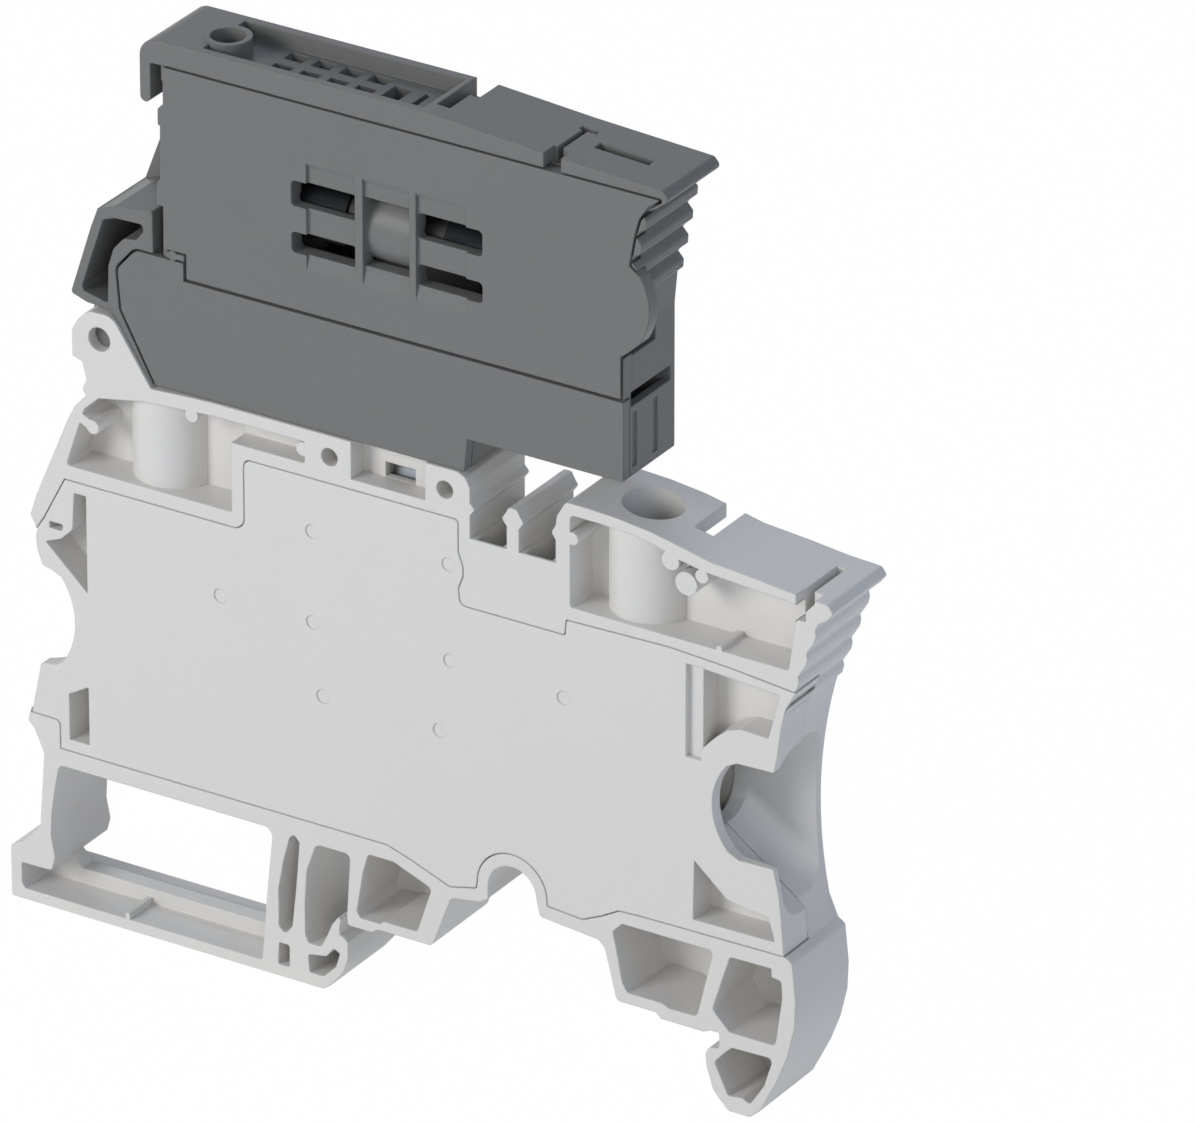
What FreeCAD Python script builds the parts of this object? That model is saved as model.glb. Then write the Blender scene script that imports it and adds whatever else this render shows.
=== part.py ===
import FreeCAD, Part
import math
import os

# Fuse terminal block for a 35 mm top hat rail, with a pivoting fuse lever.
# Origin: middle of the rail on its top face, middle of the block's thickness.
# X runs along the block towards the fixed foot, Y across it, Z up. Millimetres.

# Rail and block
rail_width = 35.0
rail_lip = 1.0
rail_play = 0.15
marker_grip_pitch = 2.2
thickness = 8.0
foot_depth = 6.4
foot_reach = 31.7
screw_span = 44.4
middle_offset = -13.1

# Heights above the rail
seam_z = 8.3
wire_z = 20.2
shelf_z = 33.9
deck_z = 42.9

# Moulded walls
plate = 1.0
web = 1.5
pocket_depth = 6.0
arm_depth = 2.1
seam_gap = 0.1

# Cross connection slots
slot_width = 3.4
slot_wall = 1.1
slot_floor = 37.4

# Screw clamps
screw_hole = 2.5
tube_wall = 1.0
head_radius = 2.1
head_height = 2.2
shank_radius = 1.7
screw_play = 0.3
chamber_half = 5.6
chamber_low = 14.0
chamber_room = 0.6
clamp_play = 0.3
clamp_closed_gap = 0.2
cage_drop = 3.4
cage_length = 7.6
cage_wall = 0.6
cage_floor = 1.2
cage_over_bar = 0.5
cage_head = 2.0
seat_thickness = 0.6
seat_gap = 0.05
funnel_low = 9.6
funnel_high = 6.1
funnel_wall = 0.4
funnel_round = 2.2
neck_half_height = 3.4
neck_half_width = 2.75

# Current bars and contacts
bar_thickness = 1.2
bar_width = 3.6
bar_gap = 3.0
bar_rise = 5.2
bar_reach = 4.8
run_over = 1.9
fork_length = 2.6
fork_sheet = 0.4
blade_sheet = 0.8
blade_width = 2.4
blade_play = 0.05

# Lever
pivot_rise = 2.8
lever_thickness = 7.5
ear_thickness = 1.7
ear_play = 0.2
trunnion_radius = 0.98
trunnion_play = 0.05
hub_radius = 2.35
hub_room = 3.5
lever_plate = 1.0
lever_reach = 48.42
lever_top = 27.2
lever_tray = 1.4
door_plate = 1.2
door_pad = 0.3
door_recess = 0.45
lever_back = 0.7
panel_gap = 0.22
fuse_length = 20.0
cap_radius = 2.6
cap_length = 5.5
glass_radius = 2.35
fuse_play = 0.2
clip_inset = 2.9
clip_sheet = 0.3
grip_pitch = 2.17
hinge_offset = 5.92
hinge_inset = 0.8
hinge_pin = 0.35
hinge_play = 0.05

# Worked out from the sizes above
half = thickness / 2
left_lip = -rail_width / 2
right_lip = rail_width / 2
left_screw = middle_offset - screw_span / 2
right_screw = middle_offset + screw_span / 2
jumper_x = right_screw - 14.4
pivot_x = left_screw - 4.53
pivot_z = deck_z + pivot_rise
left_blade = pivot_x + 15.33
right_blade = pivot_x + 26.93
fuse_x = pivot_x + 26.73
fuse_z = pivot_z + 15.15
lever_half = lever_thickness / 2
inside = half - plate
tube_radius = screw_hole + tube_wall
bar_z = wire_z + bar_gap
run_z = bar_z + bar_rise
run_top = run_z + bar_thickness
cage_low = wire_z - cage_drop
cage_high = bar_z + bar_thickness + cage_over_bar + cage_head
clamp_travel = bar_z - clamp_closed_gap - cage_floor - cage_low
chamber_high = cage_high + clamp_travel + chamber_room
seat_z = chamber_high + seat_thickness
clip_offset = fuse_length / 2 - clip_inset
hinge_x = pivot_x + hinge_offset
hinge_y = hinge_inset - lever_half


def at(x0, z0, points):
    """Outline points given as offsets from the reference point x0, z0."""
    return [(x0 + point[0], z0 + point[1]) + tuple(point[2:]) for point in points]


def corner(before, point, after):
    """Start, middle and end of the round at one corner of an outline."""
    here = FreeCAD.Vector(point[0], 0, point[1])
    back = FreeCAD.Vector(before[0], 0, before[1]) - here
    ahead = FreeCAD.Vector(after[0], 0, after[1]) - here
    radius = point[2] if len(point) > 2 else 0
    turn = back.getAngle(ahead)
    if radius == 0 or turn > 3.1:
        return [here]
    reach = radius / math.tan(turn / 2)
    reach = min(reach, 0.48 * back.Length, 0.48 * ahead.Length)
    radius = reach * math.tan(turn / 2)
    back.normalize()
    ahead.normalize()
    bisector = back + ahead
    bisector.normalize()
    middle = here + bisector * (radius / math.sin(turn / 2) - radius)
    return [here + back * reach, middle, here + ahead * reach]


def outline(points):
    """Closed wire in the XZ plane. A point is x, z and an optional corner radius,
    or x, z, "via" for a point that an arc between its neighbours passes through."""
    count = len(points)
    corners = []
    for i, point in enumerate(points):
        if "via" in point:
            corners.append(None)
        else:
            corners.append(corner(points[i - 1], point, points[(i + 1) % count]))
    edges = []
    for i, rounded in enumerate(corners):
        if rounded is None:
            continue
        if len(rounded) == 3:
            edges.append(Part.Arc(*rounded).toShape())
        following = (i + 1) % count
        if corners[following] is None:
            via = FreeCAD.Vector(points[following][0], 0, points[following][1])
            end = corners[(i + 2) % count][0]
            edges.append(Part.Arc(rounded[-1], via, end).toShape())
        elif rounded[-1].distanceToPoint(corners[following][0]) > 1e-5:
            edges.append(Part.LineSegment(rounded[-1], corners[following][0]).toShape())
    return Part.Wire(edges)


def slab(points, y0, y1):
    """An outline in the XZ plane made solid from y0 to y1."""
    face = Part.Face(outline(points))
    face.translate(FreeCAD.Vector(0, y0, 0))
    return face.extrude(FreeCAD.Vector(0, y1 - y0, 0))


def bar_along_x(points, x0, x1):
    """An outline of y, z points made solid from x0 to x1."""
    flat = slab(points, 0, x1 - x0)
    flat.rotate(FreeCAD.Vector(0, 0, 0), FreeCAD.Vector(0, 0, 1), 90)
    flat.translate(FreeCAD.Vector(x1, 0, 0))
    return flat


def block(x0, x1, y0, y1, z0, z1):
    return Part.makeBox(x1 - x0, y1 - y0, z1 - z0, FreeCAD.Vector(x0, y0, z0))


def pin_y(x, z, radius, y0, y1):
    return Part.makeCylinder(radius, y1 - y0, FreeCAD.Vector(x, y0, z), FreeCAD.Vector(0, 1, 0))


def pin_z(x, y, radius, z0, z1):
    return Part.makeCylinder(radius, z1 - z0, FreeCAD.Vector(x, y, z0), FreeCAD.Vector(0, 0, 1))


def pin_x(x0, x1, radius, z):
    return Part.makeCylinder(radius, x1 - x0, FreeCAD.Vector(x0, 0, z), FreeCAD.Vector(1, 0, 0))


def entry_wire(x, half_y, low, high):
    """Upright rounded rectangle facing X, its lower and upper edges counted from the wire."""
    z0 = wire_z - low
    z1 = wire_z + high
    wire = outline([(-half_y, z0, funnel_round), (-half_y, z1, funnel_round),
                    (half_y, z1, funnel_round), (half_y, z0, funnel_round)])
    wire.rotate(FreeCAD.Vector(0, 0, 0), FreeCAD.Vector(0, 0, 1), 90)
    wire.translate(FreeCAD.Vector(x, 0, 0))
    return wire


# Outlines of the body

def grips():
    """Rounded ridges down the marker end, below its nose."""
    points = []
    for i in range(4):
        z = deck_z - 5.75 - i * marker_grip_pitch
        x = right_screw + 17.07 - i * 0.76
        points += [(x - 0.5, z + 0.75), (x, z + 0.3, .25), (x - 0.05, z - 0.3, .25), (x - 0.5, z - 0.75)]
    return points


def left_foot():
    return (
        at(left_lip - foot_reach, -foot_depth, [(0, 0, 0.2)])
        + at(left_lip - foot_reach, 0, [
            (0, -1.8, .4), (1.3, -1.1), (2.9, 0.7, .6), (3.4, 7.4, 1.2)])
    )


def left_end():
    """Far edge of the wire entry and the spring flap above it."""
    return (
        at(left_screw, seam_z, [(-11.4, 1.1, .3), (-12, 1.7, .3), (-11.7, 2.8)])
        + at(left_screw, wire_z, [(-10.7, -7.8), (-9.8, -0.1, "via"), (-10.7, 6.8)])
        + at(left_screw, shelf_z, [
            (-11.05, -5.95, .2), (-11.4, -5.4, .2), (-10.8, -3.5), (-7.7, 3.9, .5)])
    )


def ear():
    """Bearing plate of the lever, with the flat that stops the open lever."""
    return at(pivot_x, pivot_z, [
        (-2.47, -6.5, .4), (-1.37, -5.25, .1), (-1.67, -4.7, .15), (-1.27, -3.8, .3),
        (-1.67, -2.3, .3), (-2.57, -2.05, .2), (-2.57, 0.3, .3), (-1.95, 1.35, .5),
        (-1.1, 2.22, 1.2), (1.25, 2.3, 1.5), (4.83, -3.1, .3)])


def divider():
    """Wall between the two slots, with a rounded locking head."""
    left = jumper_x + slot_width
    right = left + slot_wall
    z = slot_floor
    side = [(0, 0), (0, 2.0), (-0.45, 2.6, 0.25), (0, 3.3, 0.2), (0.15, 3.65, 0.35)]
    other = [(-x, *rest) for x, *rest in reversed(side)]
    return at(left, z, side) + at(right, z, other)


def deck():
    left = jumper_x
    right = jumper_x + 2 * slot_width + slot_wall
    return (
        at(pivot_x, deck_z, [(8.03, -0.1), (10.53, 0)])
        + at(jumper_x, deck_z, [(-1.1, 0, .3), (-0.45, -0.3, .3), (0, -1.1)])
        + at(left, slot_floor, [(0, 3.1), (0.45, 2.6, 0.25), (0, 2.0), (0, 0)])
        + divider()
        + at(right, slot_floor, [(0, 0), (0, 2.0), (-0.4, 2.6, 0.3), (0, 3.3), (0.1, 4.1, 0.3)])
    )


def marker_end():
    return at(right_screw, deck_z, [
     (-5.6, 0, .5), (-3.8, 0), (-0.9, -0.15), (2.1, -0.5), (4.1, -0.9), (7.5, -1.65), (11.6, -2),
     (15.3, -2.4), (18.2, -2.55, .4), (18.65, -3.2, .3), (18.1, -3.9, .2), (17.0, -4.4)])


def right_end():
    return (
        at(right_screw, wire_z, [(14.1, 9.0), (12.83, -0.5, "via"), (13.68, -9.6)])
        + at(right_screw, seam_z, [(14.5, 0.4)])
    )


def right_foot():
    base = -foot_depth
    return (
        at(right_lip, 0, [(6.75, 8.3, .4), (7.1, 5), (7, 2.6), (6.4, 0), (5.5, -2.4)])
        + at(right_lip, base, [(3.9, 0.8), (3.0, 0, 0.7), (1.0, 0, 0.7), (-0.4, 1.5, 0.8)])
        + at(right_lip, 0, [(-1, -3)])
        + at(right_lip, -rail_lip, [(-1.1, -0.9, 0.4), (-0.8, -0.3, 0.2), (rail_play, -0.1, 0.25)])
        + at(right_lip, 0, [(rail_play, 0.3, 0.2), (-0.6, 0.3), (-1.3, 0), (-5.2, 0), (-5.7, 0.45)])
        + at(right_lip, 0, [(-9.3, 0.45, .5), (-10.4, 4.8, .6), (-11, 5.4, .4)])
    )


def underside():
    """Bottom edge over the rail with the round earth notch, down to the left seat."""
    return (
        at(right_lip, seam_z, [
            (-16.4, -2.4, .3), (-16.75, -1), (-19, 1.25, "via"), (-21.25, -1), (-21.25, -2.2, .2),
            (-22, -2.7), (-24.7, -3.1, .5)])
        + at(left_lip, 0, [(8.5, 0.4, .5), (3.4, 0.4, .2), (2.8, 0), (0.55, 0, .2), (0.5, 0.9, .2)])
    )


def spring_hook():
    """Slot behind the hook, its springy arm and the toe under the rail lip."""
    lip = -rail_lip
    return (
        at(left_lip, 0, [
            (0.85, 6.4, .5), (-2.4, 6.4, .7), (-3.3, 3.8), (-3.5, 0.8), (-3.5, -1.9, .4),
            (-3.2, -2.7, .4), (-2, -2.7, .5), (-1.4, -1.5), (-0.95, -0.4), (-0.35, 0.45, .15),
            (-0.1, 0.25, .1)])
        + at(left_lip - rail_play, lip, [(-0.1, 0.5), (-0.1, -0.1, 0.15), (0.3, -0.25, 0.15)])
        + at(left_lip, 0, [(0.55, -1.6, .2), (0.55, -3)])
        + at(left_lip, -foot_depth, [(0.1, 2.0), (-1.1, 0.5), (-1.8, 0, 0.6)])
    )


def housing_outline():
    return (
        left_foot() + left_end() + ear() + deck() + marker_end() + grips()
        + right_end() + right_foot() + underside() + spring_hook()
    )


def foot_window():
    base = -foot_depth
    return (
        at(left_lip, seam_z, [(-26.9, -1.6, .6), (-6.45, -1.6, .8)])
        + at(left_lip, 0, [(-7.2, -0.6)])
        + at(left_lip, base, [(-7.6, 0.95, 0.3), (-30.4, 0.95, 0.3), (-30.7, 1.4), (-30.7, 3.25, 0.2)])
        + at(left_lip, 0, [(-27.8, -3.1, .3), (-27.45, -1.8), (-27.8, 0), (-27.7, 2), (-27.4, 4.1)])
    )


def foot_cavities():
    """Cored pockets of the two feet, open towards the near side."""
    seat_block = at(left_lip, 0, [
     (2.5, 6.9, .4), (2, 5), (1.4, 1.45, .5), (1.8, 0.95, .3), (3.6, 0.95), (3.9, 1.25),
     (7.1, 1.25, .4), (8.5, 5.5, .4), (4.9, 6.9, .4)])
    inner = at(right_lip, 0, [
     (-9.7, 6.5, .3), (-8.8, 7.4, .3), (-0.4, 7.4, .4), (-1.9, 1.15, .5), (-4.5, 1.1), (-5.1, 1.4),
     (-8.3, 1.4, .4), (-8.8, 2.2), (-9.35, 5)])
    outer = at(right_lip, 0, [
     (1.1, 7.3, .4), (-0.5, 2.2, .5), (1.1, 0.6, .3), (5.3, 0.6, .5), (5.9, 5), (5.8, 6.5, .3),
     (4.9, 6.6), (4.9, 7.35, .1)])
    toe = at(right_lip, 0, [
     (1.3, -0.7, .3), (5.1, -0.6, .4), (4.3, -3.2), (3, -5.3, .3), (2.3, -4.9), (1.7, -5),
     (1, -5.1, .3), (-0.3, -2.4, .4), (0.6, -1.4)])
    return [seat_block, inner, outer, toe]


def foot_slots():
    """Narrow slots right through the foot that let the hook spring."""
    curved = at(left_lip, 0, [
     (-4.45, 6.7, .2), (-3.95, 6.1, .2), (-4.3, 2), (-4.7, -1.6), (-5.4, -2.5, .3), (-6, -1.9, .3),
     (-6, 1.4), (-5.5, 4.1), (-4.9, 6.3, .2)])
    stub = at(left_lip, -foot_depth, [(-6.1, 1, .2), (-5, 1, .2), (-5, 3, .2), (-6, 3, .2)])
    heel = at(left_lip, 0, [
     (-3.25, -3.7, .3), (-3.1, -5.3, .2), (-1.8, -5.3, .3), (-0.6, -4.1), (-0.2, -2.8, .2),
     (-0.8, -2.5, .2), (-1.5, -3.4, .3)])
    return [curved, stub, heel]


def cover_outline():
    """Edge of the snap on side cover, clockwise from its lower left corner."""
    notch = at(right_lip, seam_z, [
     (-9.1, 0.1, .5), (-10.7, -0.8), (-12.45, -1.6, .6), (-15.8, -1.35, .2), (-15.8, -0.9),
     (-19, 2.3, "via"), (-22.2, -0.9), (-22.3, -1.6, .2), (-24.8, -2.2, .4), (-28.5, -0.8, .6),
     (-30.7, -0.1, 1.0)])
    left_side = (
        at(left_screw, seam_z, [(-8.95, -0.1, .15), (-8.95, 2.4, .4), (-11.7, 2.45)])
        + at(left_screw, wire_z, [
     (-11.1, -6.5), (-10.7, -4.6, .4), (-9.3, -4.45), (-8.6, -4), (-7.4, -0.3, "via"), (-8.6, 3.4),
     (-9.3, 3.75), (-10.4, 4, .4), (-10.9, 5.4), (-11, 6.6, .3), (-10.8, 7.4, .2)])
        + at(left_screw, shelf_z, [(-10.15, -5.3, .2), (-8.1, -1.35, .1)])
    )
    top = (
        at(left_screw, shelf_z, [(8.9, -1.35, 1.0)])
        + at(left_screw, deck_z, [(8.9, -4.1, 0.7)])
        + at(jumper_x, deck_z, [
     (-1.03, -4.1, .4), (-1.03, -6.9, .3), (-0.6, -8.1), (-0.6, -9), (-1.03, -10.1, .3)])
        + at(jumper_x, shelf_z, [(-0.9, -2.5, .6), (8.7, -2.5, .2), (8.8, -1.15, .2)])
        + at(right_screw, shelf_z, [(3.95, -0.95), (9.2, -1.25), (15.5, -1.85)])
    )
    right_side = (
        at(right_screw, wire_z, [
            (14.5, 10.1), (14.1, 8.2), (13.8, 5.8), (13.5, 4.25, .3), (10.1, 4.15), (9.2, 3.7),
            (7.9, 0.1, "via"), (9.3, -3.6), (10.3, -4.1), (13.5, -4, .3), (14, -6.2),
            (14.25, -8.4)])
        + at(right_screw, seam_z, [(14.5, 0.35), (1.3, 0.2)])
    )
    return left_side + top + right_side + notch


def cover_windows():
    """Pockets through the near plate of the cover, behind the wire entries."""
    upper_left = at(left_screw, wire_z, [
     (-7.2, 11.3, .1), (-6.05, 11.3, .1), (-6.05, 2.7), (-10, 6.3, .1), (-8.5, 6.9, .4),
     (-7.4, 8, .5)])
    lower_left = at(left_screw, wire_z, [
        (-8, -10.9, .1), (-6.1, -10.9, .1), (-6.1, -5.7, .1), (-8, -6.8, .1)])
    peep = at(left_screw, wire_z, [(-9.6, 7.6, .1), (-8.4, 7.6, .2), (-8.3, 8.2, .1), (-9.6, 8.2, .1)])
    upper_right = at(right_screw, wire_z, [
     (6.7, 4.5), (8.1, 6), (9.2, 6.9, .5), (10.4, 7.3, .5), (12.9, 7.2, .1), (13.9, 11.2, .1),
     (6.7, 11.7, .1)])
    lower_right = at(right_screw, wire_z, [
     (6.1, -10.55, .1), (13.6, -10.45, .1), (13, -8.4, .1), (11.3, -8.3, .8), (9.2, -7.9, .8),
     (6.2, -5.3)])
    return [upper_left, lower_left, peep, upper_right, lower_right]


def ejector_marks():
    """Places of the shallow round ejector marks on the near face of the cover."""
    return at(middle_offset, shelf_z, [
        (-15.6, -7.8), (-6.9, 0.2), (-6.9, -7.8), (-6.0, -14.1), (4.9, -14.1), (5.8, 0.7),
        (5.9, -7.7), (16.4, -8.1)])


# Body solids

def wire_funnel(screw_x, side):
    """Room for the wire: a tall rounded mouth that narrows to the clamp chamber."""
    mouth_x = screw_x + side * 15.2
    neck_x = screw_x + side * 6.9
    chamber_x = screw_x + side * (chamber_half - 0.2)
    mouth = entry_wire(mouth_x, half - funnel_wall, funnel_low, funnel_high)
    neck = entry_wire(neck_x, neck_half_width, neck_half_height, neck_half_height)
    inner = entry_wire(chamber_x, neck_half_width, neck_half_height, neck_half_height)
    cone = Part.makeLoft([mouth, neck], True, True)
    tube = Part.makeLoft([neck, inner], True, True)
    return [cone, tube]


def clamp_chamber(screw_x):
    """Room for one clamp with its screw bore above."""
    room = block(screw_x - chamber_half, screw_x + chamber_half, -inside, inside,
                 chamber_low, chamber_high)
    passage = pin_z(screw_x, 0, shank_radius + screw_play, chamber_high - 0.5, seat_z + 0.5)
    return [room, passage]


def screw_pocket(points, tube_x):
    """Pockets cored from both sides down to the middle web, round the screw tube."""
    near = slab(points, -half, -web / 2)
    far = slab(points, web / 2, half)
    tube = pin_z(tube_x, 0, tube_radius, shelf_z - 2, deck_z)
    return near.cut(tube), far.cut(tube)


def left_pocket():
    return at(left_screw, shelf_z, [(-7.9, -0.1, .3), (7.8, -0.1, .2)]) + at(left_screw, deck_z, [
        (7.8, -1.1, .1), (6.2, -1.1), (-0.6, -1.6), (-4.7, -2.4, .3), (-6.1, -3.7, .6)])


def left_pocket_arm():
    """Shallow arm of the left pocket along the edge of the deck, near side only."""
    return at(left_screw, deck_z, [(7, -3), (14.7, -3, .2), (14.7, -1.1, .1), (7, -1.1)])


def right_pocket():
    return (
        at(right_screw, shelf_z, [(15.3, 4.4, .1), (14.7, -0.1, .3), (-5.2, 0, .3)])
        + at(right_screw, deck_z, [
            (-5.2, -1, .4), (-2.6, -1), (0.6, -1.2), (2.7, -1.55), (4.2, -2.1), (7.1, -2.65),
            (15.3, -3.2, .1)])
    )


def pocket_pegs():
    """Small round pegs, a slanting stay and a low rib that stand in the near pockets."""
    pegs = [
        (left_screw + 4.1, deck_z - 1.6, 0.6),
        (left_screw + 14.5, deck_z - 1.8, 0.6),
        (left_screw - 5.3, deck_z - 5.1, 0.6),
        (right_screw + 3.95, deck_z - 2.5, 0.8),
        (right_screw + 6.8, deck_z - 3.1, 0.6),
        (right_screw + 5.4, deck_z - 4.1, 1.0),
        (right_screw - 5.0, deck_z - 3.0, 0.55),
    ]
    stay = slab(at(left_screw, deck_z, [
        (-6.52, -4.05), (-5.12, -4.72), (-5.48, -5.48), (-6.88, -4.81)]), -half, -web / 2)
    rib = block(right_screw + 8.15, right_screw + 8.65, -half, -web / 2, shelf_z - 0.2, shelf_z + 0.3)
    return [pin_y(x, z, radius, -half, -web / 2) for x, z, radius in pegs] + [stay, rib]


def contact_room():
    """Middle room for the current bars, joined to both clamp chambers."""
    left = left_screw + chamber_half + 1.1
    right = right_screw - chamber_half - 0.9
    low = seam_z + 3.6
    points = [(left, low, 0.3), (left, shelf_z - 2.4, 0.3), (left_blade - 1.5, shelf_z - 2.4)]
    points += [(left_blade - 1.5, deck_z - 5.2, 0.3), (jumper_x - 2.2, deck_z - 5.2, 0.3)]
    points += [(jumper_x - 2.2, shelf_z - 3.6), (right, shelf_z - 3.6, 0.3), (right, low, 0.3)]
    room = slab(points, -inside, inside)
    bar_slot = block(left_screw, right_screw, -bar_width / 2 - 0.05, bar_width / 2 + 0.05,
                     bar_z, bar_z + bar_thickness + 0.1)
    return [room, bar_slot]


def bar_shelves():
    """Ribs from the far wall that carry the upper runs of the current bars."""
    low = run_z - 1.2
    left = block(left_screw + chamber_half + 2.9, left_blade + 2.0, -inside, inside, low, run_z)
    right = block(right_blade - 2.0, jumper_x, -inside, inside, low, run_z)
    return [left, right]


def blade_wells():
    """Slots in the deck over the two fork contacts, longer on the side the blades swing to."""
    low = deck_z - 5.4
    wells = []
    for x in (left_blade, right_blade):
        wells.append(block(x - 1.6, x + 2.5, -1.5, 1.5, low, deck_z + 1))
    return wells


def slot_wells():
    """Holes below the two slots for the pins of a cross connector."""
    wells = []
    for i in range(2):
        x = jumper_x + slot_width / 2 + i * (slot_width + slot_wall)
        wells.append(block(x - 1.2, x + 1.2, -1.6, 1.6, shelf_z - 3.8, slot_floor + 0.5))
    return wells


def deck_details():
    """Recess with the test window, shallow pocket beside it and two locating holes."""
    recess = block(right_blade - 3.4, right_blade + 3.5, -half, -half + 1.9, deck_z - 3.25, deck_z + 1)
    window = block(right_blade - 1.4, right_blade + 1.4, -half, -1.0, deck_z - 3.2, deck_z - 1.95)
    holes = [pin_y(x, deck_z - 1.85, 0.77, -half, -half + 3.0)
             for x in (right_blade - 5.4, right_blade + 5.3)]
    return [recess, window] + holes


def marker_details():
    """Notch and groove at the marker's end, and the gap between it and the screw block."""
    notch = slab(at(right_screw, deck_z, [(15.3, -4.7), (15.3, 1), (17.0, 1), (17.0, -2.7)]),
                 -half, -half + 1.3)
    groove = block(right_screw + 15.4, right_screw + 16.2, -half, -half + 5.9, deck_z - 4.5, deck_z)
    gap = block(right_screw + 4.1, right_screw + 5.8, -0.7, half, deck_z - 4.0, deck_z + 1)
    return [notch, groove, gap]


def ear_room():
    """Round room between the two ears for the hub of the lever."""
    wide = half - ear_thickness
    disc = pin_y(pivot_x, pivot_z, hub_room, -wide, wide)
    hole = pin_y(pivot_x, pivot_z, trunnion_radius + trunnion_play, -half, half)
    side = slab(at(pivot_x, pivot_z, [(0, -2.0), (3.0, -2.7), (6, -2.7), (6, 4), (0, 4)]), -wide, wide)
    return [disc, hole, side]


def base_rib():
    """Upright web along the bottom bar of the left foot, with its end gusset and cross rib."""
    base = -foot_depth
    points = (
        at(left_lip - foot_reach, base, [(4.7, 2.3), (3.5, 3.6), (0.9, 3.6), (0.9, 0.8)])
        + at(left_lip, base, [(-7.4, 0.8), (-7.5, 2.3)])
    )
    rib = slab(points, -web / 2, web / 2)
    cross = block(left_lip - 20.7, left_lip - 20.3, -half, 0, base + 0.8, base + 1.5)
    return [rib, cross]


def make_housing():
    body = slab(housing_outline(), -half, half)
    cuts = [slab(foot_window(), -half - 1, half + 1)]
    cuts += [slab(points, -half - 1, half + 1) for points in foot_slots()]
    cuts += [slab(points, -half - 1, -half + pocket_depth) for points in foot_cavities()]
    cuts.append(slab(cover_outline(), -half - 1, -inside))
    cuts += contact_room() + blade_wells() + slot_wells() + deck_details() + ear_room()
    for screw_x, side in ((left_screw, -1), (right_screw, 1)):
        cuts += clamp_chamber(screw_x)
        cuts += wire_funnel(screw_x, side)
        edge = screw_x + side * (chamber_half + 0.3)
        far_edge = screw_x + side * 20
        end = block(min(edge, far_edge), max(edge, far_edge), -half - 1, -0.3, -20, 60)
        cuts.append(slab(cover_outline(), -half - 1, -0.3).common(end))
        scoop_x = screw_x + side * 7.2
        cuts.append(block(min(scoop_x, far_edge), max(scoop_x, far_edge), -half - 1, -0.3,
                          wire_z - 5.0, wire_z + 5.0))
    body = body.cut(cuts)
    pockets = list(screw_pocket(left_pocket(), left_screw))
    pockets += list(screw_pocket(right_pocket(), right_screw))
    pockets.append(slab(left_pocket_arm(), -half, -half + arm_depth))
    body = body.cut(pockets + marker_details())
    body = body.fuse(pocket_pegs() + base_rib() + bar_shelves())
    for screw_x in (left_screw, right_screw):
        body = body.cut(pin_z(screw_x, 0, screw_hole, seat_z, deck_z + 1))
    return body.removeSplitter()


def make_side_cover():
    """Near plate with two deep end blocks that close the wire funnels."""
    edge = outline(cover_outline())
    face = Part.Face(edge.makeOffset2D(-seam_gap))
    face.translate(FreeCAD.Vector(0, -half, 0))
    plate_solid = face.extrude(FreeCAD.Vector(0, plate - seam_gap, 0))
    deep = face.extrude(FreeCAD.Vector(0, half - 0.3 - seam_gap, 0))
    blocks = []
    cuts = []
    for screw_x, side in ((left_screw, -1), (right_screw, 1)):
        edge_x = screw_x + side * (chamber_half + 0.3 + seam_gap)
        far_x = screw_x + side * 20
        end = block(min(edge_x, far_x), max(edge_x, far_x), -half - 1, 0, -20, 60)
        blocks.append(deep.common(end))
        cuts += wire_funnel(screw_x, side)
    cover = plate_solid.fuse(blocks)
    cuts += [slab(points, -half - 1, -half + 2.7) for points in cover_windows()]
    cuts += [pin_y(x, z, 0.6, -half - 1, -half + 0.08) for x, z in ejector_marks()]
    cuts.append(block(right_screw + 5.4, right_screw + 6.8, -half - 1, -half + 0.5,
                      wire_z + 3.6, wire_z + 11.7))
    return cover.cut(cuts).removeSplitter()


# Metal parts

def make_clamp_cage(screw_x):
    """Closed steel loop round the bar and the wire, threaded for the screw."""
    wide = inside - clamp_play
    low = cage_low
    high = cage_high
    ring = [(-wide, low, 0.5), (-wide, high, 0.3), (wide, high, 0.3), (wide, low, 0.5)]
    room = [(-wide + cage_wall, low + cage_floor, 0.3), (-wide + cage_wall, high - cage_head),
            (wide - cage_wall, high - cage_head), (wide - cage_wall, low + cage_floor, 0.3)]
    left = screw_x - cage_length / 2
    right = screw_x + cage_length / 2
    cage = bar_along_x(ring, left, right).cut(bar_along_x(room, left - 1, right + 1))
    return cage.cut(pin_z(screw_x, 0, shank_radius + screw_play, high - cage_head - 1, high + 1))


def make_clamp_screw(screw_x):
    """Slotted screw that turns in its bore and pulls the cage up."""
    tip = bar_z + bar_thickness + 0.1
    neck = seat_z + seat_gap
    screw = pin_z(screw_x, 0, shank_radius, tip, neck)
    head = pin_z(screw_x, 0, head_radius, neck, neck + head_height)
    rim = [edge for edge in head.Edges if edge.BoundBox.ZMin > neck + head_height - 0.01]
    head = head.makeChamfer(0.3, rim)
    slot = block(screw_x - head_radius, screw_x + head_radius, -0.3, 0.3,
                 neck + head_height - 1.0, neck + head_height + 1)
    return screw.fuse(head).cut(slot)


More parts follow.
